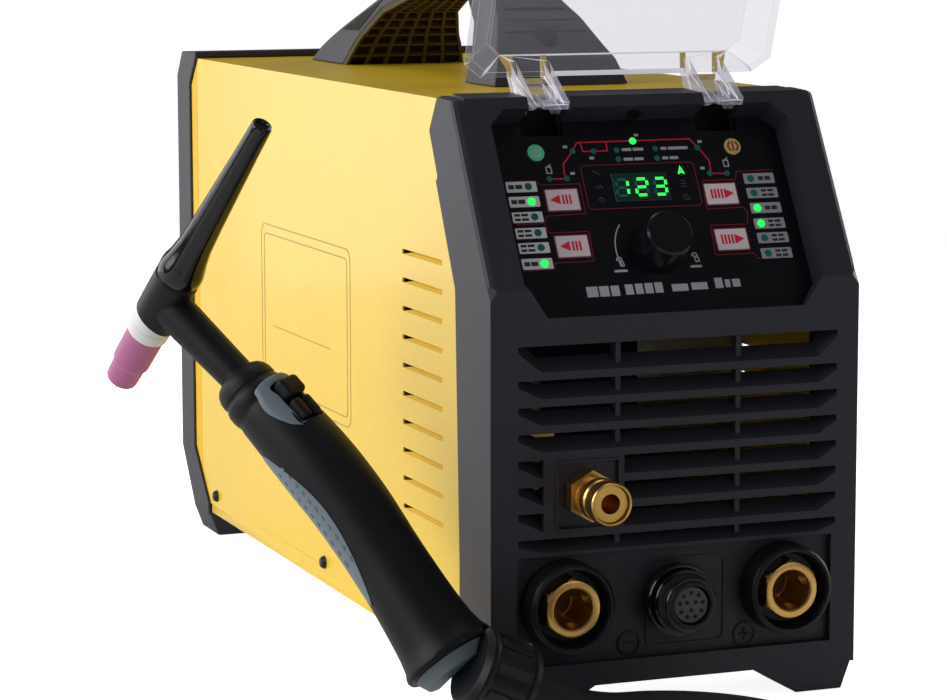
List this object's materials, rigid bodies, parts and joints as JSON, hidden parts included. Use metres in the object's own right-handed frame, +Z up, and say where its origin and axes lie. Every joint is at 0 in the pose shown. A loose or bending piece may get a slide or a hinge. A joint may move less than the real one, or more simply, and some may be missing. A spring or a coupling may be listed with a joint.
{
  "type": "tig welding inverter",
  "caption": "Portable TIG welding inverter with a sloping control panel under a hinged clear cover, front sockets, carry handle, and a hand torch on a coiled cable.",
  "frame": {"origin": "bottom centre of the box round the machine and its torch, on the floor", "axes": "+Y from the control panel to the rear, +Z up, +X to the right seen from the front"},
  "size_m": [0.3454, 0.9243, 0.3868],
  "materials": {
    "charcoal_plastic": "moulded, fine texture",
    "black_plastic": "satin",
    "gloss_black": "gloss",
    "yellow_paint": "semi-gloss powder coat",
    "zinc_steel": "zinc plated",
    "brass": "turned and polished",
    "clear_polycarbonate": "clear moulded polycarbonate",
    "white_key": "satin membrane",
    "green_key": "satin membrane",
    "gold_key": "satin membrane",
    "aluminium": "extruded",
    "circuit_board": "lacquered",
    "copper_winding": "enamelled copper winding",
    "pink_ceramic": "glazed",
    "white_insulator": "satin PTFE",
    "black_rubber": "matte",
    "blue_grey_plastic": "soft-touch",
    "tungsten": "ground",
    "red_switch": "translucent gloss"
  },
  "bodies": {
    "machine": {"front_bezel": "charcoal_plastic", "control_panel": "gloss_black", "display_window": "gloss_black", "cover_hinge_pin": "zinc_steel", "dinse_shroud_negative": "black_plastic", "dinse_shroud_positive": "black_plastic", "dinse_insert_negative": "brass", "dinse_insert_positive": "brass", "control_socket": "black_plastic", "control_socket_core": "gloss_black", "gas_coupling_body": "brass", "top_cover": "yellow_paint", "cover_screw_left_middle": "black_plastic", "cover_screw_left_rear": "black_plastic", "cover_screw_right_middle": "black_plastic", "cover_screw_right_rear": "black_plastic", "base_tray": "zinc_steel", "rear_bezel": "charcoal_plastic", "rear_panel": "zinc_steel", "mains_gland": "black_plastic", "gas_inlet": "brass", "fan_frame": "black_plastic", "heat_sink": "aluminium", "power_board": "circuit_board", "transformer": "copper_winding", "gas_valve": "brass", "handle": "charcoal_plastic", "handle_screw": "black_plastic", "torch_end_nut": "black_plastic", "torch_cable": "black_rubber", "torch_cable_coil": "black_rubber", "cable_splitter": "black_rubber", "torch_plug": "black_plastic", "gas_tail": "black_rubber", "gas_tail_nipple": "brass", "control_tail": "black_rubber", "control_tail_plug": "black_plastic"},
    "clear_cover": {"clear_cover": "clear_polycarbonate"},
    "process_key": {"process_key": "white_key"},
    "cycle_key": {"cycle_key": "white_key"},
    "trigger_mode_key": {"trigger_mode_key": "white_key"},
    "current_key": {"current_key": "white_key"},
    "power_key": {"power_key": "green_key"},
    "favourite_key": {"favourite_key": "gold_key"},
    "encoder_shaft": {"encoder_shaft": "zinc_steel"},
    "encoder_knob": {"encoder_knob": "black_plastic"},
    "gas_coupling_sleeve": {"gas_coupling_sleeve": "brass"},
    "power_switch": {"power_switch": "red_switch"},
    "fan_rotor": {"fan_rotor": "black_plastic"},
    "torch": {"torch_head": "black_rubber", "torch_insulator": "white_insulator", "torch_electrode": "tungsten", "torch_grip": "black_rubber", "torch_trigger_frame": "blue_grey_plastic", "torch_swivel_ball": "blue_grey_plastic"},
    "torch_nozzle": {"torch_nozzle": "pink_ceramic"},
    "torch_back_cap": {"torch_back_cap": "gloss_black"},
    "torch_trigger": {"torch_trigger": "black_plastic"},
    "torch_up_key": {"torch_up_key": "black_plastic"},
    "torch_down_key": {"torch_down_key": "black_plastic"}
  },
  "joints": [
    {"name": "clear_cover_hinge", "type": "hinge", "parent": "machine", "child": "clear_cover", "pos_m": [0.07101, -0.17719, 0.2779], "axis": [1, 0, 0], "range_deg": [0, 129]},
    {"name": "process_key_press", "type": "slide", "parent": "machine", "child": "process_key", "axis": [0, 0.8615, -0.5077], "range_m": [0, 0.0005], "stiffness_N_per_m": 1500},
    {"name": "cycle_key_press", "type": "slide", "parent": "machine", "child": "cycle_key", "axis": [0, 0.8615, -0.5077], "range_m": [0, 0.0005], "stiffness_N_per_m": 1500},
    {"name": "trigger_mode_key_press", "type": "slide", "parent": "machine", "child": "trigger_mode_key", "axis": [0, 0.8615, -0.5077], "range_m": [0, 0.0005], "stiffness_N_per_m": 1500},
    {"name": "current_key_press", "type": "slide", "parent": "machine", "child": "current_key", "axis": [0, 0.8615, -0.5077], "range_m": [0, 0.0005], "stiffness_N_per_m": 1500},
    {"name": "power_key_press", "type": "slide", "parent": "machine", "child": "power_key", "axis": [0, 0.8615, -0.5077], "range_m": [0, 0.0005], "stiffness_N_per_m": 1500},
    {"name": "favourite_key_press", "type": "slide", "parent": "machine", "child": "favourite_key", "axis": [0, 0.8615, -0.5077], "range_m": [0, 0.0005], "stiffness_N_per_m": 1500},
    {"name": "encoder_press", "type": "slide", "parent": "machine", "child": "encoder_shaft", "axis": [0, 0.8615, -0.5077], "range_m": [0, 0.0005], "stiffness_N_per_m": 2500},
    {"name": "encoder_turn", "type": "hinge", "parent": "encoder_shaft", "child": "encoder_knob", "pos_m": [0.07101, -0.22635, 0.21961], "axis": [0, -0.8615, 0.5077], "continuous": true},
    {"name": "gas_sleeve_pull", "type": "slide", "parent": "machine", "child": "gas_coupling_sleeve", "axis": [0, 1, 0], "range_m": [0, 0.005], "stiffness_N_per_m": 900},
    {"name": "power_switch_rock", "type": "hinge", "parent": "machine", "child": "power_switch", "pos_m": [0.11601, 0.26221, 0.232], "axis": [1, 0, 0], "range_deg": [0, 16]},
    {"name": "fan_spin", "type": "hinge", "parent": "machine", "child": "fan_rotor", "pos_m": [0.07101, 0.23921, 0.135], "axis": [0, 1, 0], "continuous": true},
    {"name": "torch_swivel", "type": "hinge", "parent": "machine", "child": "torch", "pos_m": [-0.03149, -0.27079, 0.03], "axis": [0.9012, -0.0501, -0.4306], "range_deg": [-30, 30]},
    {"name": "nozzle_turn", "type": "hinge", "parent": "torch", "child": "torch_nozzle", "pos_m": [-0.14289, -0.13869, 0.193], "axis": [0.24, -0.6101, 0.7551], "continuous": true},
    {"name": "back_cap_turn", "type": "hinge", "parent": "torch", "child": "torch_back_cap", "pos_m": [-0.14289, -0.13869, 0.193], "axis": [0.24, -0.6101, 0.7551], "continuous": true},
    {"name": "torch_trigger_press", "type": "slide", "parent": "torch", "child": "torch_trigger", "axis": [-0.3014, 0.6196, -0.7247], "range_m": [0, 0.0012], "stiffness_N_per_m": 1500},
    {"name": "torch_up_key_press", "type": "slide", "parent": "torch", "child": "torch_up_key", "axis": [-0.3014, 0.6196, -0.7247], "range_m": [0, 0.001], "stiffness_N_per_m": 1500},
    {"name": "torch_down_key_press", "type": "slide", "parent": "torch", "child": "torch_down_key", "axis": [-0.3014, 0.6196, -0.7247], "range_m": [0, 0.001], "stiffness_N_per_m": 1500}
  ]
}
